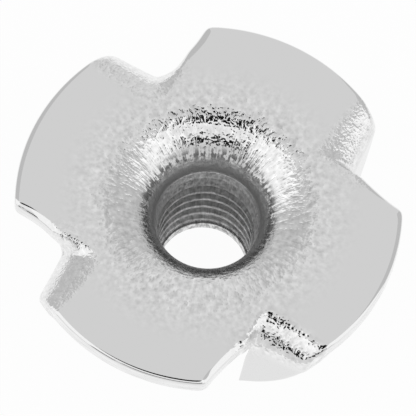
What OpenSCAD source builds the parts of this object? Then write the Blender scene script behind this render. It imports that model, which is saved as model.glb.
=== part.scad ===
// Four-prong tee nut, pressed from one piece of sheet steel.
// A tapped barrel is drawn out of the middle of a round flange. Four corners of the rim are slit
// and folded down into prongs that bite into timber. Millimetres, +Z along the screw thread.
// The origin is on the thread's axis, at the end face of the barrel.

/* [Screw thread] */
// Nominal diameter of the screw thread
thread_d = 5; // [4:0.5:5.5]
// Pitch of the screw thread
thread_pitch = 0.8; // [0.6:0.05:1]
// Depth of the chamfer where the screw enters the barrel
lead_depth = 0.2; // [0.15:0.05:0.6]
// Width of that chamfer
lead_width = 0.1; // [0.05:0.05:0.3]

/* [Sheet] */
// Thickness of the sheet in the flange and the prongs
sheet_t = 0.8; // [0.6:0.05:1]
// Radius that the punch leaves along the flange's top edges
rim_r = 0.18; // [0.1:0.02:0.3]

/* [Barrel and flange] */
// Diameter of the flange
flange_d = 17; // [16:0.25:19]
// Height from the barrel's end face to the flange's top
total_h = 7.5; // [6.5:0.1:12]
// Wall of the barrel outside the thread's crests
barrel_wall = 1.05; // [0.8:0.05:1.2]
// Radius of the drawn mouth in the flange's top
mouth_r = 2.5; // [2.2:0.1:3.2]
// Radius between the barrel and the flange's underside
neck_r = 1.6; // [1:0.1:1.8]
// Radius on the outer edge of the barrel's end
end_r = 0.3; // [0.1:0.05:0.5]

/* [Prongs] */
// Number of prongs round the flange
prong_count = 4; // [3:1:4]
// Clearance between the barrel and a prong's inner face
prong_gap = 1; // [0.8:0.05:1.2]
// Distance of a prong's inner edge from the nut's axis, along the fold
prong_edge = 4.3; // [4.1:0.05:4.7]
// Depth of a prong's tip below the flange's top
prong_depth = 5.35; // [4.5:0.05:6]
// How far the inner edge leans back, at the tip
prong_lean = 0.3; // [0:0.05:0.6]
// Depth at which the outer edge leaves the flange's rim
shoulder_depth = 1.25; // [1:0.05:1.5]
// Radius of the curved outer edge
outer_edge_r = 12; // [8:0.5:20]
// Outer radius of the fold at the prong's inner edge
fold_r = 0.65; // [0.4:0.05:0.9]
// Growth of the fold's radius per millimetre towards the rim
fold_taper = 0.4; // [0.2:0.05:0.5]

/* [Notches] */
// Angle between the notch's free side and a line square to the prong
side_angle = 23.5; // [18:0.5:30]
// Radius of the curve that the free side follows
side_r = 11; // [8:0.5:20]
// Radius in plan of the flange's corner between the free side and the rim
lobe_corner_r = 0.25; // [0.15:0.05:0.5]
// Length beside the prong over which the free side's top edge stays square
square_run = 0.15; // [0.1:0.05:0.4]

/* [Hidden] */
$fn = 96;
// Overshoot of every cut past the face that it opens
over = 1;
// How far the flat sheet on either side reaches into the fold
lap = 0.12;
// What the sheet loses on each face where it is stretched round the fold
thinning = 0.04;
// How far out the free side's rounds are moved, to cross the faces that they join
crossing = 0.01;

// Thread crests stand 5/8 of the thread's triangle height inside the nominal diameter
crest_r = (thread_d - 1.0825 * thread_pitch) / 2;
barrel_r = crest_r + barrel_wall;
flange_r = flange_d / 2;
underside_z = total_h - sheet_t;

// Prong frame: X square to the prong's outer face, Y along the fold towards the rim
prong_x = barrel_r + prong_gap + sheet_t;
tip_y = prong_edge - prong_lean;
tip_z = total_h - prong_depth;
shoulder_y = sqrt(pow(flange_r, 2) - pow(prong_x, 2));
shoulder_z = total_h - shoulder_depth;
// Angle round that circle that takes the free side's round out past the rim
side_round_sweep = 36;
// Centre of the circle that the notch's free side follows
side_centre = [prong_x, prong_edge] + side_r * [sin(side_angle), cos(side_angle)];

// The fold is part of a cone that touches the flange's top and the prong's outer face.
// Its point lies on the corner that those two faces would make without a fold.
fold_point_y = prong_edge - fold_r / fold_taper;
fold_angle = atan(fold_taper);
cone_angle = asin(fold_taper / sqrt(1 + 2 * pow(fold_taper, 2)));
fold_sweep = acos((pow(cos(fold_angle), 2) - pow(cos(cone_angle), 2)) / pow(sin(cone_angle), 2));
cone_length = 2 * flange_r;

// Centre of a circle of radius r through points a and b, to the left of the way from a to b
function arc_centre(a, b, r) =
    let (mid = (a + b) / 2, half = (b - a) / 2, rise = sqrt(pow(r, 2) - half * half))
    mid + rise * [-half.y, half.x] / norm(half);

// Section of flange and barrel, X being the distance from the axis
module nut_section() {
    difference() {
        union() {
            translate([0, underside_z]) square([flange_r, sheet_t]);
            square([barrel_r, total_h]);
            neck_fillet();
        }
        translate([-over, -over]) square([crest_r + over, total_h + 2 * over]);
        mouth_opening();
        lead_chamfer();
        translate([flange_r, total_h]) mirror([1, 0]) mirror([0, 1]) rounded_corner(rim_r);
        translate([barrel_r, 0]) mirror([1, 0]) rounded_corner(end_r);
    }
}

// What a round of radius r takes off a square corner at the origin
module rounded_corner(r) {
    difference() {
        translate([-over, -over]) square(over + r);
        translate([r, r]) circle(r);
    }
}

// Material that rounds the barrel into the flange's underside
module neck_fillet() {
    difference() {
        translate([0, underside_z - neck_r]) square([barrel_r + neck_r, neck_r]);
        translate([barrel_r + neck_r, underside_z - neck_r]) circle(neck_r);
    }
}

// The drawn mouth curves from the flange's top into the thread's crests
module mouth_opening() {
    difference() {
        translate([0, total_h - mouth_r]) square([crest_r + mouth_r, mouth_r + over]);
        translate([crest_r + mouth_r, total_h - mouth_r]) circle(mouth_r);
    }
}

// Chamfer that lets the screw in at the barrel's end
module lead_chamfer() {
    slope = lead_width / lead_depth;
    polygon([[0, -over], [crest_r + lead_width + slope * over, -over], [crest_r, lead_depth], [0, lead_depth]]);
}

// Flange and barrel, before the rim is slit
module flange_and_barrel() {
    rotate_extrude() nut_section();
}

// X of the line where the fold starts, at a distance y along it
function fold_start_x(y) = prong_x - fold_taper * (y - fold_point_y);

// Plan of the opening that one prong leaves in the flange
module notch_plan() {
    far = flange_r + over;
    start_y = prong_edge + lap;
    polygon([
        [fold_start_x(start_y) + lap, start_y], [far, start_y], [far, far], [fold_start_x(far) + lap, far]
    ]);
    intersection() {
        translate(side_centre) circle(side_r);
        translate([prong_x - thinning, 0]) square([far, prong_edge + over]);
    }
}

// Centre of the round between the rim and the free side, inside both
function lobe_corner_centre() =
    let (
        from_axis = flange_r - lobe_corner_r + crossing,
        from_side = side_r + lobe_corner_r - crossing,
        d = norm(side_centre), toward = side_centre / d,
        along = (pow(from_axis, 2) - pow(from_side, 2) + pow(d, 2)) / (2 * d),
        across = sqrt(pow(from_axis, 2) - pow(along, 2))
    )
    along * toward + across * [toward.y, -toward.x];

// Plan of what that round takes off the flange's corner
module lobe_corner_plan() {
    centre = lobe_corner_centre();
    to_rim = centre / norm(centre);
    to_side = (side_centre - centre) / norm(side_centre - centre);
    reach = lobe_corner_r + over;
    difference() {
        polygon([
            centre, centre + reach * to_rim,
            centre + reach * (to_rim + to_side), centre + reach * to_side
        ]);
        translate(centre) circle(lobe_corner_r);
    }
}

// Round along the top edge of the free side, from beside the prong out past the rim
module free_side_round() {
    translate([side_centre.x, side_centre.y, total_h])
        rotate([0, 0, 270 - side_angle + square_run / side_r * 180 / PI])
            rotate_extrude(angle = side_round_sweep)
                translate([side_r - crossing, crossing]) mirror([0, 1]) rounded_corner(rim_r);
}

// All that is cut away for one notch
module notch() {
    translate([0, 0, underside_z - over])
        linear_extrude(sheet_t + 2 * over) {
            notch_plan();
            lobe_corner_plan();
        }
    free_side_round();
}

// The sheet round the fold: a slice of a cone's wall
module fold() {
    along = [sin(cone_angle), cos(cone_angle)];
    outer = thinning / sin(cone_angle);
    inner = (sheet_t - thinning) / sin(cone_angle);
    translate([prong_x, fold_point_y, total_h])
        rotate([0, 0, fold_angle - 90])
            rotate([0, -90 - cone_angle, 0])
                rotate_extrude(angle = fold_sweep)
                    polygon([
                        [0, outer], [0, outer] + cone_length * along,
                        [0, inner] + cone_length * along, [0, inner]
                    ]);
}

// The flat sheet below the fold, seen square to the prong
module blade_plan() {
    far = 2 * flange_r;
    polygon([
        [fold_point_y, total_h + lap], [fold_point_y + far, total_h + lap - fold_taper * far],
        [fold_point_y + far, -far], [fold_point_y, -far]
    ]);
}

// Outline of a prong seen square to its face, X being the distance along the fold
module prong_outline() {
    far = 2 * flange_r;
    tip = [tip_y, tip_z];
    shoulder = [shoulder_y, shoulder_z];
    intersection() {
        translate(arc_centre(tip, shoulder, outer_edge_r)) circle(outer_edge_r);
        polygon([tip, [far, tip_z], [far, shoulder_z], [tip_y, shoulder_z]]);
    }
    translate([tip_y, shoulder_z]) square([far, shoulder_depth + over]);
}

// Half plane beyond the prong's inner edge, which leans back towards the tip
module inner_edge_limit() {
    far = 2 * flange_r;
    lean = prong_lean / prong_depth;
    polygon([
        [prong_edge + lean * over, total_h + over], [far, total_h + over],
        [far, tip_z - over], [tip_y - lean * over, tip_z - over]
    ]);
}

// Puts a profile drawn along the fold and up into the prong's frame, with a depth along X
module across_prong(x_from, depth) {
    translate([x_from, 0, 0]) rotate([90, 0, 90]) linear_extrude(depth) children();
}

module prong() {
    intersection() {
        union() {
            fold();
            across_prong(prong_x - sheet_t, sheet_t) blade_plan();
        }
        intersection() {
            cylinder(r = flange_r - thinning, h = total_h + over);
            across_prong(0, prong_x + over) intersection() {
                prong_outline();
                inner_edge_limit();
            }
        }
    }
}

// Flange and barrel with the first few notches cut, one after the other
module notched_flange(cut_count) {
    if (cut_count == 0)
        flange_and_barrel();
    else
        difference() {
            notched_flange(cut_count - 1);
            rotate([0, 0, (cut_count - 1) * 360 / prong_count]) notch();
        }
}

module tee_nut() {
    color([0.80, 0.81, 0.82]) {
        notched_flange(prong_count);
        for (i = [0 : prong_count - 1])
            rotate([0, 0, i * 360 / prong_count]) prong();
    }
}

tee_nut();
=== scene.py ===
import math

import bpy
import numpy as np
from mathutils import Matrix, Vector
from mathutils.geometry import delaunay_2d_cdt


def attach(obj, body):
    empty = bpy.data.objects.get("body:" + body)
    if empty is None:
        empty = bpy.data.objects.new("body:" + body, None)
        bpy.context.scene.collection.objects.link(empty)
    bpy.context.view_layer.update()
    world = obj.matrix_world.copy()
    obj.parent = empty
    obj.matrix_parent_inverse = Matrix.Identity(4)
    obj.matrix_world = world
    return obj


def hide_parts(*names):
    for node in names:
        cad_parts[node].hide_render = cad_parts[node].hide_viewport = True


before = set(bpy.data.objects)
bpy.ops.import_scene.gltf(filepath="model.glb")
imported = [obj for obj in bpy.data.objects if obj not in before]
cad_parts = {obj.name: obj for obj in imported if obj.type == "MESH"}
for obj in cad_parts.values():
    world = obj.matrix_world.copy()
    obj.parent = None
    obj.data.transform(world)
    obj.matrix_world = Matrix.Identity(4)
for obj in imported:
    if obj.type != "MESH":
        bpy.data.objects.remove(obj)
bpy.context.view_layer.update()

# A tee nut pressed from one sheet. The sheet is laid out as a flat blank with a notch and a slit beside
# each prong, gets its rolled and cut edges, and is then bent. Mouth, tapped bore and barrel are turned
# about the axis and join the blank round a circle. Points are in millimetres until the mesh is made. The
# origin is on the thread's axis at the barrel's end, and +Z runs to the flange's top. In a prong's
# frame, X is square to the prong's outer face and Y runs along its fold towards the rim. A tuple of four
# has one value for each prong and its notch, anticlockwise from the ones between +X and +Y.

# ---------------------------------------------------------------- sizes of the nut, in millimetres
# The flange is kept a hair inside the solids' 8.5
SHEET_T, TOTAL_H, FLANGE_R = 0.8, 7.5, 8.495
PRONG_COUNT = 4

# Screw thread. Crests lie this many pitches inside the nominal diameter, taken over both sides
THREAD_D, THREAD_PITCH, CREST_PITCHES = 5.0, 0.8, 1.0825
CREST_R = (THREAD_D - CREST_PITCHES * THREAD_PITCH) / 2
ROOT_R = 2.26
# Crest and flank take up these shares of each half turn, and the root has the rest. The groove's own
# crest lies a little inside the wall, so that the wall stays plain there.
CREST_SHARE, FLANK_SHARE, ROOT_ROUNDING, CREST_SINK = 0.2, 0.72, 0.12, 0.02
# Heights between which the wall is tapped, and how far the groove runs out at either end
THREAD_TOP_Z, THREAD_BOTTOM_Z = 5.1, 0.62
TOP_RUN_OUT, BOTTOM_RUN_OUT = 0.5, 0.3

# Mouth, throat and barrel. The bore widens above a height, and narrows to a land below the thread
MOUTH_R, THROAT_R, MOUTH_TIGHTENS_AT = 3.2, 0.5, 35
THROAT_WIDENING, WIDENING_START_Z = 0.24, 4.0
LAND_STEP, LAND_RUN_BELOW, LAND_RUN_ABOVE = 0.114, 0.08, 0.04
LEAD_DEPTH, LEAD_WIDTH = 0.08, 0.06
BARREL_WALL, NECK_R, END_R = 1.05, 1.6, 0.3
BARREL_R = CREST_R + BARREL_WALL

# Prongs: place of the outer face and of the inner edge, depth, and the curved outer edge that leaves the
# rim at the shoulder
PRONG_GAP = 1.0
PRONG_X = BARREL_R + PRONG_GAP + SHEET_T
PRONG_EDGE = 4.3
PRONG_DEPTH, PRONG_LEAN = 5.35, 0.3
SHOULDER_DEPTH, SHOULDER_RISE, SHOULDER_FALL = 1.25, 0.15, 0.5
OUTER_EDGE_R = 9.0

# Folds: the section starts gently, ends tightly and shrinks towards the rim, over this reach
FOLD_GENTLE_R, FOLD_TIGHT_R, FOLD_TIGHTENS_AT = 2.4, 0.25, 28
FOLD_NARROWING, FOLD_REACH = 0.034, 4
# How near the rim a point of the fold counts as on it, and where the search for the rim starts
RIM_MARGIN, RIM_GUESS_Y, RIM_PASSES = 0.1, 7.0, 12

# Notches: the slit's end, and the arc of the free side
SLIT_END = np.array([5.4, 4.38])
SLIT_GAP = 0.03
SIDE_ANGLE, SIDE_R, SIDE_END_X = math.radians(23.5), 11.0, 9.0
# How far the free sides lie off that arc near the slit and near the rim, and the X where that changes
SIDE_SHIFTS_AT_SLIT, SLIT_SHIFT_SPAN = (0.1, 0.16, 0.16, 0.08), (5.3, 8.0)
SIDE_SHIFTS_AT_RIM, RIM_SHIFT_SPAN = (0.0, 0.2, 0.28, 0.0), (5.8, 8.0)
# The same for a prong's inner edge, near the slit
INNER_SHIFT, INNER_SHIFT_SPAN, INNER_PASSES = 0.13, (5.4, 7.0), 4

# Drape: the sheet turns from flat to folded over this width. It widens away from the slit's end, inside
# the sheet, and narrows along the slit, whose line falls back from the prong by a slope.
DRAPES = (0.25, 0.55, 0.25, 0.17)
DRAPE_WIDENING, DRAPE_WIDENING_RUN = 0.06, 1.6
DRAPE_NARROWING, LEAST_DRAPE = 0.35, 0.03
SLIT_SLOPE = 0.24
DRAPE_OFF_HOLE = (0.02, 0.5)

# Edges of the sheet: rolled over by the punch, sheared below, with a small round at the underside
ROLL_WIDTH, ROLL_DEPTH = 0.26, 0.14
SIDE_ROLL_WIDTH, SIDE_ROLL_DEPTH, SIDE_ROLL_POWER = 0.38, 0.22, 0.75
LOWER_ROUND, LOWER_ROUND_MID, LOWER_INSET_MID, LOWER_INSET = 0.04, 0.012, 0.05, 0.15
FACE_INSET = 1.08
# Angles of the roll between which it goes over into the cut, and how far the lower round is cut
CUT_ANGLES, CUT_ON_LOWER_ROUND = (1.1, 1.5), 0.6
# The wider roll of the notches' sides: how far it reaches round the slit's end and how close to the rim
NOTCH_BEFORE, NOTCH_BESIDE, NOTCH_INNER_Y, NOTCH_OFF_RIM, NOTCH_BLUR = 0.05, 0.2, 2, 0.05, 12
# A roll takes up at most these shares of the sheet's width and of a bend's radius
ROLL_OF_WIDTH, ROLL_OF_RADIUS, LEAST_BEND = 0.3, 0.75, 0.01
ROOM_GROWTH, ROOM_PASSES = 0.025, 30
# The flange's corners at the notches are rounded in many small passes, out to these distances
CORNER_SOFTNESS, CORNER_SPAN = 120, (0.35, 0.6)

# ---------------------------------------------------------------- state of the skin, from 0 to 1
# Plating grows dull and is darkened by painted shade, by the way down from the flange's top into the bore.
# Bore's depth and land get less of it and are a little brighter
BORE_DULL_AND_SHADE_SPAN, DEEP_SPAN, DEEP_BRIGHTENING, LAND_BRIGHTENING = (0.6, 1.35), (1.5, 2.2), 0.2, 0.5
# The barrel's outside is rougher and darker, fading out round the neck. Prong faces get a little painted
# shade below the flange, and are a little rougher there
BARREL_ROUGH_AND_DARK, PRONG_SHADE_AND_DULL, PRONG_SHADE_AND_DULL_SPAN, PRONG_OFF_HOLE = 0.95, 0.06, (0.9, 1.6), 0.1
# Skin drawn into the mouth, by the distance from the axis and by height
DRAWN_SPAN, DRAWN_LEAST, DRAWN_HEIGHTS = (4.4, 7.0), 0.25, (TOTAL_H - 1.7, TOTAL_H - 1.2)
# Skin bent over a fold: along its section, before and round the prong's corner, clear of the mouth
BENT_START, BENT_END, BENT_BEFORE_EDGE = 0.5, (-0.25, 0.05), 0.9
BENT_ROUND_CORNER, BENT_OFF_MOUTH = (0.3, 1.4), (4.9, 5.4)
# How fine the grain of each fold is
FINENESS = (1.0, 1.0, 1.0, 0.15)

# ---------------------------------------------------------------- fineness of the mesh
# Circle where sheet and drawn part join
HOLE_R, HOLE_COUNT = 5.16, 192
# Steps of a bent curve and how many of them make a row, then the rows of the drawn part
CURVE_STEPS, CURVE_STRIDE = 360, 6
BORE_STEP, LEAST_BORE_STEP = 0.036, 0.02
LEAD_ROWS, END_ROWS, CORNER_ROWS, BARREL_ROWS, NECK_ROWS = 5, 6, 9, 14, 20
# Rings of the sheet's edge, and points of each line and arc of the outline
ROLL_RINGS, CUT_RINGS = 11, 6
EDGE_POINTS, SIDE_POINTS, ARC_POINTS = 300, 2000, 200
# The outline is evened out, softened, and stepped again by a share of its own radius, within limits
OUTLINE_STEP, OUTLINE_SOFTNESS, BEND_BLUR = 0.02, 30, 60
STEP_OF_RADIUS, LEAST_STEP, MOST_STEP = 0.22, 0.035, 0.11
# Inside of the sheet: grids, clear of the outline, and how far the fine one goes round a fold
COARSE_GRID, FINE_GRID, GRID_REACH = 0.24, 0.095, 12.0
COARSE_CLEARANCE, FINE_CLEARANCE = 0.12, 0.05
FINE_FROM, FINE_PAST_FOLD = 0.2, 0.15
# Width given to an open sheet, and how far a point's own edge reaches
OPEN_WIDTH, OWN_EDGE = 5.0, 0.02
# Points closer than this are one, and lengths and slopes smaller than these count as none
WELD, JOINED, TINY, PARALLEL = 2e-4, 1e-7, 1e-6, 1e-9
# Millimetres to metres
MM = 0.001


# ---------------------------------------------------------------- curves and frames


def smooth_step(x, low, high):
    """Rises from 0 to 1 between two limits, level at both."""
    t = np.clip((x - low) / (high - low), 0, 1)
    return t * t * (3 - 2 * t)


def from_axis(xy):
    """Distance of points from the nut's axis."""
    return np.hypot(xy[:, 0], xy[:, 1])


def quarter_turn(xy, k):
    """Points turned about the nut's axis by k quarters, anticlockwise from above."""
    c, s = (1, 0, -1, 0)[k % 4], (0, 1, 0, -1)[k % 4]
    return np.stack([c * xy[:, 0] - s * xy[:, 1], s * xy[:, 0] + c * xy[:, 1]], 1)


def prong_frames(xy):
    """Each prong's number, with the points as they lie in that prong's frame."""
    for k in range(PRONG_COUNT):
        yield k, quarter_turn(xy, -k)


def bent_curve(gentle_r, tight_r, tightens_at):
    """A quarter turn that starts gently and ends tightly.

    Gives slope, way along the curve, way over and way down. The radius falls evenly from the slope
    tightens_at, in degrees, to the curve's end.
    """
    slope = np.radians(np.linspace(0, 90, CURVE_STEPS + 1))
    radius = np.interp(slope, np.radians([tightens_at, 90]), [gentle_r, tight_r])

    def summed(value):
        return np.concatenate([[0], np.cumsum(value[:-1] + value[1:])]) * slope[1] / 2

    return slope, summed(radius), summed(radius * np.cos(slope)), summed(radius * np.sin(slope))


FOLD_SLOPE, FOLD_ALONG, FOLD_OVER, FOLD_DOWN = bent_curve(FOLD_GENTLE_R, FOLD_TIGHT_R, FOLD_TIGHTENS_AT)
MOUTH_SLOPE, _, MOUTH_OVER, MOUTH_DOWN = bent_curve(MOUTH_R, THROAT_R, MOUTH_TIGHTENS_AT)
WIDENING_RUN = TOTAL_H - MOUTH_DOWN[-1] - WIDENING_START_Z


# ---------------------------------------------------------------- bending the flat blank


def fold_place(xy):
    """Size of the fold's section, X where it starts and way along it, for points of the blank."""
    size = 1 - FOLD_NARROWING * np.clip(xy[:, 1] - PRONG_EDGE, 0, FOLD_REACH) ** 2
    start = PRONG_X - size * FOLD_OVER[-1]
    return size, start, (xy[:, 0] - start) / size


def folded(xy, depth):
    """Points of the sheet on and below the fold, at a depth under its top face."""
    size, start, along = fold_place(xy)
    slope = np.interp(along, FOLD_ALONG, FOLD_SLOPE)
    over = np.interp(along, FOLD_ALONG, FOLD_OVER) + np.minimum(along, 0)
    down = np.interp(along, FOLD_ALONG, FOLD_DOWN) + np.maximum(along - FOLD_ALONG[-1], 0)
    x = start + size * over - depth * np.sin(slope)
    z = TOTAL_H - size * down - depth * np.cos(slope)
    return np.column_stack([x, xy[:, 1], z])


def top_folded(xy):
    """Points of the sheet's top face, on and below the fold."""
    return folded(xy, np.zeros(len(xy)))


def unfolded(y, drop):
    """Where points of a prong's face lie on the flat blank, from their drop under the flange."""
    flat = np.column_stack([np.full(len(y), PRONG_X), y])
    size, start, _ = fold_place(flat)
    flat[:, 0] = start + drop + size * (FOLD_ALONG[-1] - FOLD_DOWN[-1])
    return flat


def fold_share(xy, drape):
    """How far the fold has hold of the sheet: 0 on the flat side of the slit, 1 on the prong's."""
    ahead, beside = (xy - SLIT_END).T
    beside = beside + SLIT_SLOPE * np.maximum(ahead, 0)
    widening = -DRAPE_WIDENING * np.maximum(ahead, -DRAPE_WIDENING_RUN)
    room = drape + np.where(ahead < 0, widening, -DRAPE_NARROWING * ahead)
    room = np.maximum(room, LEAST_DRAPE)
    off_hole = smooth_step(from_axis(xy), HOLE_R + DRAPE_OFF_HOLE[0], HOLE_R + DRAPE_OFF_HOLE[1])
    return smooth_step(beside / room, -1, 1) * off_hole


def sheet_to_space(flat, depth):
    """Bends points of the flat blank, at a depth under its top face, to the nut's form."""
    out = np.column_stack([flat, TOTAL_H - depth])
    for k, xy in prong_frames(flat):
        share = fold_share(xy, DRAPES[k])
        held = (share > 0) & (fold_place(xy)[2] > 0)
        plain = np.column_stack([xy[held], TOTAL_H - depth[held]])
        mixed = plain + share[held][:, None] * (folded(xy[held], depth[held]) - plain)
        out[held, :2] = quarter_turn(mixed[:, :2], k)
        out[held, 2] = mixed[:, 2]
    return out


# ---------------------------------------------------------------- outline of the flat blank


def outer_edge_y(z):
    """Y of a prong's curved outer edge, which runs from the tip to the shoulder, at each height."""
    tip = np.array([PRONG_EDGE - PRONG_LEAN, TOTAL_H - PRONG_DEPTH])
    shoulder = np.array([math.sqrt(FLANGE_R ** 2 - PRONG_X ** 2), TOTAL_H - SHOULDER_DEPTH])
    half = (shoulder - tip) / 2
    rise = math.sqrt(OUTER_EDGE_R ** 2 - half @ half)
    centre = (tip + shoulder) / 2 + rise * np.array([-half[1], half[0]]) / np.hypot(*half)
    return centre[0] + np.sqrt(np.maximum(OUTER_EDGE_R ** 2 - (z - centre[1]) ** 2, 0))


def rim_on_fold(along):
    """Points of the flat blank that come to lie on the rim, at each way along the fold."""
    y = np.full(len(along), RIM_GUESS_Y)
    for _ in range(RIM_PASSES):
        flat = np.column_stack([np.full(len(y), PRONG_X), y])
        size, start, _ = fold_place(flat)
        flat[:, 0] = start + size * along
        y = np.sqrt(FLANGE_R ** 2 - top_folded(flat)[:, 0] ** 2)
    return np.column_stack([flat[:, 0], y])


def free_side(k):
    """A notch's free side on the flat blank, from the rim to the slit's end."""
    toward_centre = np.array([math.sin(SIDE_ANGLE), math.cos(SIDE_ANGLE)])
    centre = np.array([PRONG_X, PRONG_EDGE]) + SIDE_R * toward_centre
    x = np.linspace(SLIT_END[0] + SLIT_GAP, SIDE_END_X, SIDE_POINTS)
    y = centre[1] - np.sqrt(SIDE_R ** 2 - (x - centre[0]) ** 2)
    y = y + SIDE_SHIFTS_AT_SLIT[k % PRONG_COUNT] * (1 - smooth_step(x, *SLIT_SHIFT_SPAN))
    y = y + SIDE_SHIFTS_AT_RIM[k % PRONG_COUNT] * smooth_step(x, *RIM_SHIFT_SPAN)
    keep = np.hypot(x, y) < FLANGE_R
    return np.stack([x[keep], y[keep]], 1)[::-1]


def inner_edge():
    """A prong's inner edge on the flat blank, from the slit's end to the tip."""
    lean = PRONG_LEAN / PRONG_DEPTH
    tip = unfolded(np.array([PRONG_EDGE - PRONG_LEAN]), np.array([PRONG_DEPTH]))[0]
    x = np.linspace(SLIT_END[0] + SLIT_GAP, tip[0], EDGE_POINTS)
    edge = np.column_stack([x, np.full(EDGE_POINTS, PRONG_EDGE)])
    for _ in range(INNER_PASSES):
        edge[:, 1] = PRONG_EDGE - lean * (TOTAL_H - top_folded(edge)[:, 2])
    edge[:, 1] += INNER_SHIFT * (1 - smooth_step(x, *INNER_SHIFT_SPAN))
    return edge


def blank_quarter(k):
    """Outline of a quarter of the flat blank, from one lobe's corner to the next."""
    drop = np.linspace(PRONG_DEPTH, SHOULDER_DEPTH, EDGE_POINTS)
    outer = unfolded(outer_edge_y(TOTAL_H - drop), drop)
    size = fold_place(outer[-1:])[0][0]
    shoulder_along = SHOULDER_DEPTH / size - FOLD_DOWN[-1] + FOLD_ALONG[-1]
    on_fold = rim_on_fold(np.linspace(shoulder_along, 0, ARC_POINTS)[1:])
    next_corner = free_side(k + 1)[0]
    first = math.atan2(on_fold[-1, 1], on_fold[-1, 0])
    last = math.atan2(next_corner[1], next_corner[0]) + math.pi / 2
    angle = np.linspace(first, last, EDGE_POINTS)[1:-1]
    rim = FLANGE_R * np.stack([np.cos(angle), np.sin(angle)], 1)
    return np.vstack([free_side(k), inner_edge(), outer[1:], on_fold, rim])


def resampled(loop, spacing):
    """The closed loop with points at the given spacing: one number, or one for each point."""
    closed = np.vstack([loop, loop[:1]])
    step = np.hypot(*np.diff(closed, axis=0).T)
    gap = np.broadcast_to(spacing, len(loop))
    gap = (gap + np.roll(gap, -1)) / 2
    measure = np.concatenate([[0], np.cumsum(step / gap)])
    count = int(round(measure[-1] / 4)) * 4
    at = np.arange(count) * measure[-1] / count
    return np.stack([np.interp(at, measure, closed[:, i]) for i in (0, 1)], 1)


def softened(loop, passes):
    """The closed loop with each point moved halfway to the middle of its neighbours."""
    for _ in range(passes):
        loop = loop + 0.5 * ((np.roll(loop, 1, 0) + np.roll(loop, -1, 0)) / 2 - loop)
    return loop


def blurred(values, passes):
    """Values round a closed loop, each mixed with its neighbours."""
    for _ in range(passes):
        values = (np.roll(values, 1) + np.roll(values, -1) + 2 * values) / 4
    return values


def loop_frame(loop):
    """Inward normal and signed curvature at each point of a loop that runs anticlockwise."""
    ahead, back = np.roll(loop, -1, 0) - loop, loop - np.roll(loop, 1, 0)
    along = ahead + back
    along /= np.hypot(*along.T)[:, None]
    turn = np.arctan2(back[:, 0] * ahead[:, 1] - back[:, 1] * ahead[:, 0], (back * ahead).sum(1))
    length = (np.hypot(*ahead.T) + np.hypot(*back.T)) / 2
    return np.stack([-along[:, 1], along[:, 0]], 1), turn / length


def blank_loop():
    """Outline of the whole flat blank: lobes' corners rounded, points closer together in the bends."""
    quarters = [quarter_turn(blank_quarter(k), k) for k in range(PRONG_COUNT)]
    loop = softened(resampled(np.vstack(quarters), OUTLINE_STEP), OUTLINE_SOFTNESS)
    from_corner = np.min([np.hypot(*(loop - quarter[0]).T) for quarter in quarters], 0)
    near = (1 - smooth_step(from_corner, *CORNER_SPAN))[:, None]
    for _ in range(CORNER_SOFTNESS):
        loop = loop + near * (softened(loop, 1) - loop)
    bend = blurred(np.abs(loop_frame(loop)[1]), BEND_BLUR)
    return resampled(loop, np.clip(STEP_OF_RADIUS / (bend + TINY), LEAST_STEP, MOST_STEP))


# ---------------------------------------------------------------- edge of the sheet


def clear_width(loop, normal):
    """Width of the sheet straight inward from each point of the loop."""
    edge = np.roll(loop, -1, 0) - loop
    width = np.full(len(loop), OPEN_WIDTH)
    for i, (inward, point) in enumerate(zip(normal, loop)):
        apart = loop - point
        cross = inward[0] * edge[:, 1] - inward[1] * edge[:, 0]
        cross = np.where(abs(cross) < PARALLEL, PARALLEL, cross)
        reach = (apart[:, 0] * edge[:, 1] - apart[:, 1] * edge[:, 0]) / cross
        share = (apart[:, 0] * inward[1] - apart[:, 1] * inward[0]) / cross
        hit = (share >= 0) & (share <= 1) & (reach > OWN_EDGE)
        if hit.any():
            width[i] = reach[hit].min()
    return width


def notch_share(loop):
    """Where the loop runs along the sides of a notch, which have a wider roll: from 0 to 1."""
    share = np.zeros(len(loop))
    for _, xy in prong_frames(loop):
        on_side = (xy[:, 0] > SLIT_END[0] - NOTCH_BEFORE) & (xy[:, 1] > NOTCH_INNER_Y)
        on_side &= xy[:, 1] < SLIT_END[1] + NOTCH_BESIDE
        on_side &= np.abs(from_axis(xy) - FLANGE_R) > NOTCH_OFF_RIM
        share = np.maximum(share, on_side)
    return blurred(share, NOTCH_BLUR)


def roll_room(loop, normal, bend, roll):
    """Share of the full roll that each point of the edge has room for."""
    room = ROLL_OF_WIDTH * clear_width(loop, normal) / roll
    room = np.minimum(1.0, np.minimum(room, ROLL_OF_RADIUS / (np.maximum(bend, LEAST_BEND) * roll)))
    for _ in range(ROOM_PASSES):
        room = np.minimum(room, np.minimum(np.roll(room, 1), np.roll(room, -1)) + ROOM_GROWTH)
    return room


def edge_profile(notch, room):
    """The edge from the top face round the roll and down the cut to the underside.

    Each step gives its inset as a share of the roll's width, its depth at every point and how far it
    lies on the cut.
    """
    count = len(room)
    steps = [(FACE_INSET, np.zeros(count), 0.0)]
    for a in np.linspace(0, math.pi / 2, ROLL_RINGS):
        down = 1 - math.cos(a)
        rim, side = ROLL_DEPTH * down, SIDE_ROLL_DEPTH * down ** SIDE_ROLL_POWER
        depth = (rim * (1 - notch) + side * notch) * room
        steps.append((1 - math.sin(a), depth, smooth_step(a, *CUT_ANGLES)))
    rolled = steps[-1][1]
    for t in np.linspace(0, 1, CUT_RINGS)[1:]:
        steps.append((0.0, rolled + t * (SHEET_T - LOWER_ROUND - rolled), 1.0))
    steps.append((LOWER_INSET_MID, np.full(count, SHEET_T - LOWER_ROUND_MID), CUT_ON_LOWER_ROUND))
    steps.append((LOWER_INSET, np.full(count, SHEET_T), 0.0))
    steps.append((FACE_INSET, np.full(count, SHEET_T), 0.0))
    return steps


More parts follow.
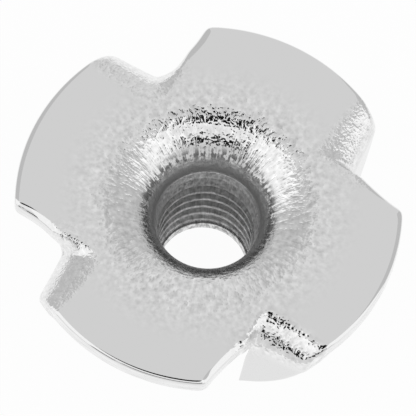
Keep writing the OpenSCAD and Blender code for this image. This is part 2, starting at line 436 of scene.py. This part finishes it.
def rim_spread(flat, depth):
    """Moves the rim's points outward where the bent sheet's lower layers reach the same rim."""
    moved = flat.copy()
    shoulder_z = TOTAL_H - SHOULDER_DEPTH
    for k, xy in prong_frames(flat):
        top = top_folded(xy)
        on_rim = (from_axis(top) > FLANGE_R - RIM_MARGIN) & (xy[:, 1] > PRONG_EDGE)
        on_rim &= fold_place(xy)[2] > 0
        low, top = folded(xy[on_rim], depth[on_rim]), top[on_rim]
        reach = np.sqrt(FLANGE_R ** 2 - low[:, 0] ** 2) - np.sqrt(FLANGE_R ** 2 - top[:, 0] ** 2)
        above_shoulder = smooth_step(top[:, 2], shoulder_z - SHOULDER_FALL, shoulder_z + SHOULDER_RISE)
        xy[on_rim, 1] += reach * above_shoulder
        moved[on_rim] = quarter_turn(xy, k)[on_rim]
    return moved


# ---------------------------------------------------------------- filling the sheet


def inside(points, loop):
    """Which points lie inside the closed loop."""
    x, y = points.T
    odd = np.zeros(len(points), bool)
    for (ax, ay), (bx, by) in zip(loop, np.roll(loop, -1, 0)):
        if ay != by:
            crosses = (ay > y) != (by > y)
            odd ^= crosses & (x < (bx - ax) * (y - ay) / (by - ay) + ax)
    return odd


def in_fold(points):
    """Which points of the flat blank come to lie on a fold."""
    found = np.zeros(len(points), bool)
    for k, xy in prong_frames(points):
        along = fold_place(xy)[2]
        on_fold = (along > FINE_FROM) & (along < FOLD_ALONG[-1] + FINE_PAST_FOLD)
        found |= (fold_share(xy, DRAPES[k]) > 0) & on_fold
    return found


def hexagonal_grid(step):
    """Points at equal steps in staggered rows, outside the hole."""
    xs = np.arange(-GRID_REACH, GRID_REACH, step)
    ys = np.arange(-GRID_REACH, GRID_REACH, step * math.sqrt(3) / 2)
    grid_x, grid_y = np.meshgrid(xs, ys)
    grid_x = grid_x + (np.arange(len(ys)) % 2)[:, None] * step / 2
    points = np.stack([grid_x.ravel(), grid_y.ravel()], 1)
    return points[from_axis(points) > HOLE_R + COARSE_CLEARANCE]


def fill_points(ring):
    """Points that fill the sheet inside the ring: close together on the folds."""
    coarse, fine = hexagonal_grid(COARSE_GRID), hexagonal_grid(FINE_GRID)
    coarse, fine = coarse[~in_fold(coarse)], fine[in_fold(fine)]
    kept = []
    for points, clearance in ((coarse, COARSE_CLEARANCE), (fine, FINE_CLEARANCE)):
        points = points[inside(points, ring)]
        away = np.array([np.min(np.hypot(*(ring - point).T)) for point in points])
        kept.append(points[away > clearance])
    return np.vstack(kept)


def triangulated(ring, hole, inner):
    """Points and triangles of the sheet between the ring and the hole."""
    points = np.vstack([ring, hole, inner])
    n, m = len(ring), len(hole)
    edges = [(i, (i + 1) % n) for i in range(n)]
    edges += [(n + i, n + (i + 1) % m) for i in range(m)]
    found, _, faces, source, _, _ = delaunay_2d_cdt([Vector(p) for p in points], edges, [], 0, JOINED)
    triangles = np.array([face for face in faces if len(face) == 3])
    middle = np.array([tuple(point) for point in found])[triangles].mean(1)
    outside_hole = from_axis(middle) > HOLE_R * math.cos(math.pi / m)
    own = np.array([ids[0] if ids else -1 for ids in source])
    triangles = own[triangles[inside(middle, ring) & outside_hole]]
    if (triangles < 0).any():
        raise RuntimeError("the blank's triangles met a point that is not its own")
    a, b, c = points[triangles[:, 0]], points[triangles[:, 1]], points[triangles[:, 2]]
    area = (b[:, 0] - a[:, 0]) * (c[:, 1] - a[:, 1]) - (b[:, 1] - a[:, 1]) * (c[:, 0] - a[:, 0])
    triangles[area < 0] = triangles[area < 0][:, ::-1]
    return points, triangles


# ---------------------------------------------------------------- mouth, bore and barrel


def bore_dull_and_shade(down):
    """How dull the plating of mouth and bore is and how far painted shade darkens it, at a way down from the
    flange's top.
    """
    return smooth_step(down, *BORE_DULL_AND_SHADE_SPAN) - DEEP_BRIGHTENING * smooth_step(down, *DEEP_SPAN)


def mouth_rows():
    """From the flange's top down the mouth, until it is as steep as the widened throat."""
    steepest = math.pi / 2 - math.atan2(THROAT_WIDENING, WIDENING_RUN)
    last = CURVE_STRIDE * int(np.searchsorted(MOUTH_SLOPE, steepest) // CURVE_STRIDE)
    rows = [(HOLE_R, TOTAL_H, 0.0)]
    for i in range(0, last + 1, CURVE_STRIDE):
        radius = CREST_R + THROAT_WIDENING + MOUTH_OVER[last] - MOUTH_OVER[i]
        rows.append((radius, TOTAL_H - MOUTH_DOWN[i], bore_dull_and_shade(MOUTH_DOWN[i])))
    return rows


def bore_rows(top_z):
    """Down the throat, the wall that is tapped and the land below it."""
    rows = []
    for z in np.arange(top_z - BORE_STEP, LEAD_DEPTH + LEAST_BORE_STEP, -BORE_STEP):
        land = 1 - smooth_step(z, THREAD_BOTTOM_Z - LAND_RUN_BELOW, THREAD_BOTTOM_Z + LAND_RUN_ABOVE)
        widened = THROAT_WIDENING * max((z - WIDENING_START_Z) / WIDENING_RUN, 0)
        # Painted shade and dullness down the bore, lighter on the land
        dull = bore_dull_and_shade(TOTAL_H - z) * (1 - LAND_BRIGHTENING * land)
        rows.append((CREST_R + widened - LAND_STEP * land, z, dull))
    return rows


def end_rows():
    """Out over the lead-in and the barrel's end, and round its outer corner."""
    rows = []
    for t in np.linspace(0, 1, LEAD_ROWS):
        rows.append((CREST_R - LAND_STEP + LEAD_WIDTH * t, LEAD_DEPTH * (1 - t), 0.0))
    for r in np.linspace(rows[-1][0], BARREL_R - END_R, END_ROWS)[1:]:
        rows.append((r, 0.0, 0.0))
    for a in np.linspace(0, math.pi / 2, CORNER_ROWS)[1:]:
        rows.append((BARREL_R - END_R + END_R * math.sin(a), END_R - END_R * math.cos(a), 0.0))
    return rows


def barrel_rows():
    """Up the barrel's outside and round the neck to the flange's underside."""
    rows = []
    neck_z = TOTAL_H - SHEET_T - NECK_R
    for z in np.linspace(END_R, neck_z, BARREL_ROWS)[1:]:
        rows.append((BARREL_R, z, BARREL_ROUGH_AND_DARK))
    for a in np.linspace(0, math.pi / 2, NECK_ROWS)[1:]:
        over, up = NECK_R * (1 - math.cos(a)), NECK_R * math.sin(a)
        rows.append((BARREL_R + over, neck_z + up, BARREL_ROUGH_AND_DARK * math.cos(a)))
    rows.append((HOLE_R, TOTAL_H - SHEET_T, 0.0))
    return rows


def drawn_section():
    """Section of mouth, bore, barrel and neck, as rows of radius, height, and dullness with painted shade.
    """
    mouth = mouth_rows()
    return mouth + bore_rows(mouth[-1][1]) + end_rows() + barrel_rows()


def thread_groove(angle, z):
    """Radius of the tapped thread's wall: crests are flat, roots are round."""
    turn = (z / THREAD_PITCH - angle / (2 * math.pi)) % 1.0
    from_crest = np.abs(turn - 0.5) * 2
    flank = np.clip((from_crest - CREST_SHARE) / FLANK_SHARE, 0, 1)
    crest_r = CREST_R - CREST_SINK
    return crest_r + (ROOT_R - crest_r) * (flank - ROOT_ROUNDING * flank ** 4)


def tapped_radius(angle, r, z):
    """Radius of the bore at a row: grooved, with the groove running out at both ends."""
    cut = smooth_step(z, THREAD_BOTTOM_Z, THREAD_BOTTOM_Z + BOTTOM_RUN_OUT)
    cut = cut * (1 - smooth_step(z, THREAD_TOP_Z - TOP_RUN_OUT, THREAD_TOP_Z))
    return np.maximum(r, CREST_R + (thread_groove(angle, z) - CREST_R) * cut)


# ---------------------------------------------------------------- mesh of the nut


class SheetMesh:
    """Collects points, their marks and their faces, and welds them into one skin.

    A point's marks are how far it is cut, tapped, and dull and darkened by painted shade, and its place on
    the flat blank.
    """

    def __init__(self):
        self.points, self.marks, self.faces = [], [], []
        self.count = 0

    def add(self, points, flat, cut=0.0, tapped=0.0, dull=0.0):
        """Adds points with the same marks, and gives the first one's index."""
        first, n = self.count, len(points)
        self.points.append(points)
        self.marks.append(np.column_stack([np.full(n, cut), np.full(n, tapped), np.full(n, dull), flat]))
        self.count += n
        return first

    def strip(self, a, b, n):
        """Quads between two closed rows of n points that start at index a and b."""
        i = np.arange(n)
        j = (i + 1) % n
        self.faces.append(np.stack([a + i, a + j, b + j, b + i], 1))

    def welded(self):
        """Points, marks and faces, with points that share a place made one."""
        points, marks = np.vstack(self.points), np.vstack(self.marks)
        key = np.round(points / WELD).astype(np.int64)
        _, index, inverse = np.unique(key, axis=0, return_index=True, return_inverse=True)
        faces = []
        for block in self.faces:
            for face in inverse.ravel()[block].tolist():
                corners = [face[i] for i in range(len(face)) if face[i] != face[i - 1]]
                if len(corners) >= 3 and len(corners) == len(set(corners)):
                    faces.append(corners)
        return points[index], marks[index], faces


def add_sheet(sheet):
    """Adds the flange and the prongs: the sheet's edge, and its two faces out from the hole."""
    loop = blank_loop()
    n = len(loop)
    normal, bend = loop_frame(loop)
    notch = notch_share(loop)
    roll = ROLL_WIDTH + (SIDE_ROLL_WIDTH - ROLL_WIDTH) * notch
    room = roll_room(loop, normal, bend, roll)
    rings = []
    for inset, depth, cut in edge_profile(notch, room):
        flat = rim_spread(loop, depth) + normal * (inset * roll * room)[:, None]
        rings.append((sheet.add(sheet_to_space(flat, depth), flat, cut=cut), flat))
    for (upper, _), (lower, _) in zip(rings, rings[1:]):
        sheet.strip(lower, upper, n)

    angle = np.arange(HOLE_COUNT) * 2 * math.pi / HOLE_COUNT
    hole = HOLE_R * np.stack([np.cos(angle), np.sin(angle)], 1)
    top_ring, under_ring = rings[0][1], rings[-1][1]
    points, triangles = triangulated(top_ring, hole, fill_points(top_ring))
    for ring, depth, facing in ((top_ring, 0.0, triangles), (under_ring, SHEET_T, triangles[:, ::-1])):
        flat = np.vstack([ring, points[n:]])
        first = sheet.add(sheet_to_space(flat, np.full(len(flat), depth)), flat)
        sheet.faces.append(first + facing)


def add_drawn_part(sheet):
    """Adds mouth, bore and barrel, row by row round the axis."""
    angle = np.arange(HOLE_COUNT) * 2 * math.pi / HOLE_COUNT
    previous = None
    for r, z, dull in drawn_section():
        tapped = THREAD_BOTTOM_Z < z < THREAD_TOP_Z and r < ROOT_R
        radius = tapped_radius(angle, r, z) if tapped else np.full(HOLE_COUNT, r)
        flat = np.column_stack([radius * np.cos(angle), radius * np.sin(angle)])
        points = np.column_stack([flat, np.full(HOLE_COUNT, z)])
        row = sheet.add(points, flat, tapped=float(tapped), dull=dull)
        if previous is not None:
            sheet.strip(previous, row, HOLE_COUNT)
        previous = row


def stretched_skin(flat):
    """How far the skin is drawn, how far it is bent and how far its grain is fine, on the flat blank."""
    drawn = 1 - smooth_step(from_axis(flat), *DRAWN_SPAN)
    bent, fine = np.zeros(len(flat)), np.zeros(len(flat))
    for k, xy in prong_frames(flat):
        along = fold_place(xy)[2]
        on_fold = smooth_step(along, 0.0, BENT_START)
        on_fold *= 1 - smooth_step(along - FOLD_ALONG[-1], *BENT_END)
        on_fold *= smooth_step(xy[:, 1], PRONG_EDGE - BENT_BEFORE_EDGE, PRONG_EDGE)
        from_corner = np.hypot(xy[:, 0] - PRONG_X, xy[:, 1] - PRONG_EDGE)
        here = np.maximum(on_fold, 1 - smooth_step(from_corner, *BENT_ROUND_CORNER))
        bent, fine = np.maximum(bent, here), np.maximum(fine, here * FINENESS[k])
    off_mouth = smooth_step(from_axis(flat), *BENT_OFF_MOUTH)
    return drawn, bent * off_mouth, fine * off_mouth


def skin_values(points, marks):
    """What the finish needs to know at each point, by name."""
    cut, tapped, dull = marks[:, :3].T
    flat = marks[:, 3:]
    drawn, bent, fine = stretched_skin(flat)
    drawn = drawn * (DRAWN_LEAST + (1 - DRAWN_LEAST) * smooth_step(points[:, 2], *DRAWN_HEIGHTS))
    on_prong = from_axis(flat) > HOLE_R + PRONG_OFF_HOLE
    # Painted shade on the prongs' faces below the flange, with a little more roughness
    dull = dull + PRONG_SHADE_AND_DULL * on_prong * smooth_step(TOTAL_H - points[:, 2], *PRONG_SHADE_AND_DULL_SPAN)
    return {"cut_edge": cut, "tapped": tapped, "dull": dull, "drawn": drawn, "bent": bent, "fine": fine}


def new_object(name, content):
    """Puts a mesh or a camera's lens into the scene as an object."""
    placed = bpy.data.objects.new(name, content)
    bpy.context.scene.collection.objects.link(placed)
    return placed


def pressed_nut():
    """The whole nut as one closed skin."""
    sheet = SheetMesh()
    add_sheet(sheet)
    add_drawn_part(sheet)
    points, marks, faces = sheet.welded()
    mesh = bpy.data.meshes.new("pressed_nut")
    mesh.from_pydata((points * MM).tolist(), [], faces)
    for name, values in skin_values(points, marks).items():
        layer = mesh.attributes.new(name, "FLOAT", "POINT")
        layer.data.foreach_set("value", values.astype(np.float32))
    mesh.validate()
    mesh.shade_smooth()
    return new_object("pressed_nut", mesh)


# ---------------------------------------------------------------- nodes
VALUE, VECTOR = "NodeSocketFloat", "NodeSocketVector"


def linked(tree, kind, inputs=(), **settings):
    """A node with its settings, its input values and its links made in one go."""
    node = tree.nodes.new(kind)
    for name, value in settings.items():
        setattr(node, name, value)
    for name, value in inputs:
        if isinstance(value, bpy.types.NodeSocket):
            tree.links.new(value, node.inputs[name])
        else:
            node.inputs[name].default_value = value
    return node


def maths(tree, operation, *values):
    """The result of one operation on sockets or numbers."""
    return linked(tree, "ShaderNodeMath", enumerate(values), operation=operation).outputs[0]


def plus(tree, first, second):
    """Sum of two sockets or numbers."""
    return maths(tree, "ADD", first, second)


def minus(tree, first, second):
    """What is left of the first when the second is taken away."""
    return maths(tree, "SUBTRACT", first, second)


def times(tree, first, *others):
    """Product of sockets or numbers, one after the other."""
    for other in others:
        first = maths(tree, "MULTIPLY", first, other)
    return first


def clamped(tree, value):
    """The value, held between 0 and 1."""
    return linked(tree, "ShaderNodeClamp", [(0, value)]).outputs[0]


def stretched(tree, vector, factors):
    """The vector, with each part multiplied by its factor."""
    inputs = [(0, vector), (1, factors)]
    return linked(tree, "ShaderNodeVectorMath", inputs, operation="MULTIPLY").outputs[0]


def centred_noise(tree, vector, scale, detail):
    """Noise that swings to both sides of zero, with the number and the share of its finer layers."""
    inputs = [("Vector", vector), ("Scale", scale), ("Detail", detail[0]), ("Roughness", detail[1])]
    return minus(tree, linked(tree, "ShaderNodeTexNoise", inputs).outputs[0], 0.5)


def new_group(name, inputs, outputs):
    """An empty node group, with the sockets that it is given and those of its result."""
    group = bpy.data.node_groups.new(name, "ShaderNodeTree")
    for label, kind in inputs.items():
        group.interface.new_socket(label, in_out="INPUT", socket_type=kind)
    for label, kind in outputs.items():
        group.interface.new_socket(label, in_out="OUTPUT", socket_type=kind)
    given = group.nodes.new("NodeGroupInput").outputs
    return group, given, group.nodes.new("NodeGroupOutput").inputs


# ---------------------------------------------------------------- zinc plating
# Streaks run down the drawn skin, grains cover drawn and bent skin, and level lines lie on the cut edges
STREAKS_ROUND, STREAKS_DOWN, STREAKS_LEAST_R = 26.0, 4.0, 0.5
GRAINS_PER_MM, FINE_GRAINS_PER_MM = 4.5, 10.0
CUT_LINES_PER_MM = (0.7, 0.7, 12.0)
LONG_DETAIL, GRAIN_DETAIL = (2.0, 0.6), (1.0, 0.5)
# What fine grains take from the coarse ones, their own height, and the height of the whole relief
GRAIN_LOSS, FINE_GRAIN_HEIGHT = 0.45, 0.6
RELIEF_M = 0.00003
# Tone and roughness where the plating is bright, half dull, dull or tapped. Dull plating is darkened by
# painted shade, with painted dark specks where it turns dull
PLATING_TONE, PLATING_MOTTLE = 0.82, 0.6
PATCH_CONTRAST, PATCH_DARKENING = 14.0, 0.3
SPECK_CONTRAST, SPECK_DARKENING = 8.0, 2.6
BRIGHT_ROUGHNESS, DULL_ROUGHNESS, TAPPED_ROUGHNESS = 0.05, 0.36, 0.25


def drawn_peel():
    """Relief that drawing, bending and shearing leave in the sheet's skin, about zero."""
    group, given, result = new_group(
        "drawn_peel",
        {"Position": VECTOR, "Drawn": VALUE, "Bent": VALUE, "Fine": VALUE, "Cut": VALUE},
        {"Relief": VALUE},
    )
    mm = stretched(group, given["Position"], (1 / MM,) * 3)
    x, y, z = linked(group, "ShaderNodeSeparateXYZ", [(0, mm)]).outputs
    radius = maths(group, "SQRT", plus(group, times(group, x, x), times(group, y, y)))
    radius = maths(group, "MAXIMUM", radius, STREAKS_LEAST_R)
    round_x = times(group, maths(group, "DIVIDE", x, radius), STREAKS_ROUND)
    round_y = times(group, maths(group, "DIVIDE", y, radius), STREAKS_ROUND)
    way_down = times(group, minus(group, radius, z), STREAKS_DOWN)
    streak_at = linked(group, "ShaderNodeCombineXYZ", [(0, round_x), (1, round_y), (2, way_down)]).outputs[0]
    streaks = centred_noise(group, streak_at, 1.0, LONG_DETAIL)
    grains = centred_noise(group, mm, GRAINS_PER_MM, GRAIN_DETAIL)
    fine_grains = centred_noise(group, mm, FINE_GRAINS_PER_MM, GRAIN_DETAIL)
    lines = centred_noise(group, stretched(group, mm, CUT_LINES_PER_MM), 1.0, LONG_DETAIL)

    skin = maths(group, "MAXIMUM", given["Drawn"], given["Bent"])
    coarse = minus(group, skin, times(group, given["Fine"], GRAIN_LOSS))
    drawn = times(group, streaks, given["Drawn"])
    fine = times(group, fine_grains, given["Fine"], FINE_GRAIN_HEIGHT)
    bent = plus(group, times(group, grains, coarse), fine)
    cut = times(group, lines, given["Cut"])
    group.links.new(plus(group, plus(group, drawn, bent), cut), result["Relief"])
    return group


def plating_tone():
    """Tone and roughness of the zinc: mottled on stretched skin, dull down the bore and darkened there by
    painted shade, with painted dark specks.
    """
    group, given, result = new_group(
        "plating_tone",
        {"Tone": VALUE, "Mottle": VALUE, "Relief": VALUE, "Dull and Shade": VALUE, "Tapped": VALUE},
        {"Colour": VALUE, "Roughness": VALUE},
    )
    mottled = plus(group, times(group, given["Relief"], given["Mottle"]), 1.0)
    half_dull_and_shade = times(group, given["Dull and Shade"], minus(group, 1.0, given["Dull and Shade"]))
    patches = times(group, given["Relief"], half_dull_and_shade, PATCH_CONTRAST)
    patchy = clamped(group, plus(group, given["Dull and Shade"], patches))
    # Painted dark specks of shade where the plating turns dull
    specks = clamped(group, plus(group, times(group, given["Relief"], SPECK_CONTRAST), 0.5))
    specks = times(group, specks, half_dull_and_shade, SPECK_DARKENING)
    # Painted shade: the dull plating's tone is darkened, while its roughness below is real
    shaded_tone = minus(group, 1.0, times(group, patchy, PATCH_DARKENING))
    shaded_tone = times(group, shaded_tone, minus(group, 1.0, specks))
    group.links.new(times(group, mottled, shaded_tone, given["Tone"]), result["Colour"])
    roughness = plus(group, times(group, patchy, DULL_ROUGHNESS), BRIGHT_ROUGHNESS)
    roughness = plus(group, times(group, given["Tapped"], TAPPED_ROUGHNESS), roughness)
    group.links.new(roughness, result["Roughness"])
    return group


def zinc_plating():
    """Bright zinc on steel, with the skin's relief as a bump."""
    plating = bpy.data.materials.new("bright_zinc_plating")
    plating.use_nodes = True
    tree = plating.node_tree
    place = linked(tree, "ShaderNodeTexCoord").outputs["Object"]
    skin = {
        name: linked(tree, "ShaderNodeAttribute", attribute_name=name).outputs["Fac"]
        for name in ("cut_edge", "tapped", "dull", "drawn", "bent", "fine")
    }
    peel_inputs = [
        ("Position", place), ("Drawn", skin["drawn"]), ("Bent", skin["bent"]),
        ("Fine", skin["fine"]), ("Cut", skin["cut_edge"]),
    ]
    relief = linked(tree, "ShaderNodeGroup", peel_inputs, node_tree=drawn_peel()).outputs["Relief"]
    tone_inputs = [
        ("Tone", PLATING_TONE), ("Mottle", PLATING_MOTTLE), ("Relief", relief),
        ("Dull and Shade", skin["dull"]), ("Tapped", skin["tapped"]),
    ]
    tone = linked(tree, "ShaderNodeGroup", tone_inputs, node_tree=plating_tone()).outputs
    bump_inputs = [("Strength", 1.0), ("Distance", RELIEF_M), ("Height", relief)]
    bump = linked(tree, "ShaderNodeBump", bump_inputs).outputs[0]
    shader = tree.nodes["Principled BSDF"].inputs
    shader["Metallic"].default_value = 1.0
    tree.links.new(tone["Colour"], shader["Base Color"])
    tree.links.new(tone["Roughness"], shader["Roughness"])
    tree.links.new(bump, shader["Normal"])
    return plating


nut = pressed_nut()
nut.data.materials.append(zinc_plating())
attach(nut, "root")
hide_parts("tee_nut")

# ---------------------------------------------------------------- camera
IMAGE_PX = 416
# Radius and centre that the flange's top circle has in the image, in pixels from the upper left corner
FLANGE_R_PX, FLANGE_X_PX, FLANGE_Y_PX = 194.3, 208.93, 204.1
# How high the camera stands over the flange, how it is rolled, and its turn round the nut's axis
ELEVATION, ROLL, TURN = math.radians(67.39), math.radians(5.58), math.radians(20.3)
DISTANCE_M, SENSOR_MM, CLIP_M = 0.5, 36, (0.01, 10)


def image_axes():
    """Directions of the image's right, of its top and toward the camera."""
    right = Vector((1, 0, 0))
    up = Vector((0, math.sin(ELEVATION), math.cos(ELEVATION)))
    image_right = math.cos(ROLL) * right + math.sin(ROLL) * up
    image_up = -math.sin(ROLL) * right + math.cos(ROLL) * up
    turn = Matrix.Rotation(TURN, 3, "Z")
    image_right, image_up = turn @ image_right, turn @ image_up
    return image_right, image_up, image_right.cross(image_up)


def place_camera(image_right, image_up, toward_camera):
    """A long lens that gives the flange its size and place in the image."""
    px_per_m = FLANGE_R_PX / (FLANGE_R * MM)
    over, up = IMAGE_PX / 2 - FLANGE_X_PX, IMAGE_PX / 2 - FLANGE_Y_PX
    aim = Vector((0, 0, TOTAL_H * MM)) + (over * image_right - up * image_up) / px_per_m
    lens = bpy.data.cameras.new("camera")
    lens.sensor_width = SENSOR_MM
    lens.lens = px_per_m * DISTANCE_M * SENSOR_MM / IMAGE_PX
    lens.clip_start, lens.clip_end = CLIP_M
    camera = new_object("camera", lens)
    facing = Matrix((image_right, image_up, toward_camera)).transposed().to_4x4()
    camera.matrix_world = Matrix.Translation(aim + toward_camera * DISTANCE_M) @ facing
    bpy.context.scene.camera = camera


image_right, image_up, toward_camera = image_axes()
place_camera(image_right, image_up, toward_camera)
bpy.context.scene.view_settings.view_transform = "Standard"

# ---------------------------------------------------------------- light cards
WHITE = (1, 1, 1, 1)
CARD_DISTANCE_M, CARD_ROWS, CARD_COLUMNS = 0.9, 12, 24
FRONT_LIGHT, SIDE_LIGHT, GREY, NEARLY_BLACK = 0.95, 1.08, 0.6, 0.01
front = Vector((toward_camera.x, toward_camera.y, 0)).normalized()
beside = Vector((-front.y, front.x, 0))


def glow(tree, radiance):
    """White light that a surface gives off."""
    return linked(tree, "ShaderNodeEmission", [("Color", WHITE), ("Strength", radiance)]).outputs[0]


def card_paint(name, radiance):
    """Paint that gives off even light and reflects none."""
    paint = bpy.data.materials.new(name)
    paint.use_nodes = True
    tree = paint.node_tree
    tree.nodes.remove(tree.nodes["Principled BSDF"])
    tree.links.new(glow(tree, radiance), tree.nodes["Material Output"].inputs[0])
    return paint


def studio_card(name, azimuths, elevations, radiance):
    """A curved card round the nut: azimuths run from the viewer's side to the right, in degrees."""
    points = []
    for i in range(CARD_ROWS + 1):
        e = math.radians(elevations[0] + (elevations[1] - elevations[0]) * i / CARD_ROWS)
        for j in range(CARD_COLUMNS + 1):
            a = math.radians(azimuths[0] + (azimuths[1] - azimuths[0]) * j / CARD_COLUMNS)
            level = math.cos(a) * front + math.sin(a) * beside
            points.append(CARD_DISTANCE_M * (math.cos(e) * level + math.sin(e) * Vector((0, 0, 1))))
    w = CARD_COLUMNS + 1
    corners = [i * w + j for i in range(CARD_ROWS) for j in range(CARD_COLUMNS)]
    mesh = bpy.data.meshes.new(name)
    mesh.from_pydata(points, [], [(c, c + 1, c + w + 1, c + w) for c in corners])
    mesh.shade_smooth()
    mesh.materials.append(card_paint(name, radiance))
    card = new_object(name, mesh)
    card.visible_camera = False


studio_card("front_softbox", (-46, 46), (49, 71), FRONT_LIGHT)
studio_card("side_softbox_left", (-104, -46), (20, 70), SIDE_LIGHT)
studio_card("side_softbox_right", (46, 91), (32, 70), SIDE_LIGHT)
studio_card("low_softbox_left", (-104, -66), (8, 20), SIDE_LIGHT)
studio_card("low_softbox_right", (62, 91), (6, 32), SIDE_LIGHT)
studio_card("grey_card_left", (-156, -104), (3, 62), GREY)
studio_card("grey_card_right", (91, 156), (3, 62), GREY)
studio_card("dark_flag_above", (-70, 64), (71, 88), NEARLY_BLACK)
studio_card("dark_flag_below", (-33, 38), (39, 49), NEARLY_BLACK)
studio_card("dark_flag_low_left", (-56, -34), (25, 37), NEARLY_BLACK)

# ---------------------------------------------------------------- floor and surroundings
FLOOR_REACH_M, PAPER_TONE, PAPER_ROUGHNESS, PAPER_GLOW = 2.0, 0.9, 0.9, 0.96
ROOM_TONE = 0.76


def floor_paper():
    """White paper that camera and reflections see evenly bright, and that is plain paper otherwise."""
    white = bpy.data.materials.new("white_floor")
    white.use_nodes = True
    tree = white.node_tree
    paper = tree.nodes["Principled BSDF"]
    paper.inputs["Base Color"].default_value = (PAPER_TONE, PAPER_TONE, PAPER_TONE, 1)
    paper.inputs["Roughness"].default_value = PAPER_ROUGHNESS
    paper.inputs["Specular IOR Level"].default_value = 0.0
    ray = linked(tree, "ShaderNodeLightPath").outputs
    seen = maths(tree, "MAXIMUM", ray["Is Glossy Ray"], ray["Is Transmission Ray"])
    seen = times(tree, maths(tree, "MAXIMUM", ray["Is Camera Ray"], seen), PAPER_GLOW)
    mix_inputs = [(0, seen), (1, paper.outputs[0]), (2, glow(tree, 1.0))]
    mix = linked(tree, "ShaderNodeMixShader", mix_inputs)
    tree.links.new(mix.outputs[0], tree.nodes["Material Output"].inputs[0])
    return white


def studio_floor():
    """A square of white paper under the barrel's end."""
    corners = [(x * FLOOR_REACH_M, y * FLOOR_REACH_M, 0) for x, y in ((-1, -1), (1, -1), (1, 1), (-1, 1))]
    mesh = bpy.data.meshes.new("studio_floor")
    mesh.from_pydata(corners, [], [(0, 1, 2, 3)])
    mesh.materials.append(floor_paper())
    floor = new_object("studio_floor", mesh)


def studio_room():
    """Even grey light from all round."""
    room = bpy.data.worlds.new("studio")
    room.use_nodes = True
    background = room.node_tree.nodes["Background"].inputs
    background["Color"].default_value = (ROOM_TONE, ROOM_TONE, ROOM_TONE, 1)
    background["Strength"].default_value = 1.0
    bpy.context.scene.world = room


studio_floor()
studio_room()
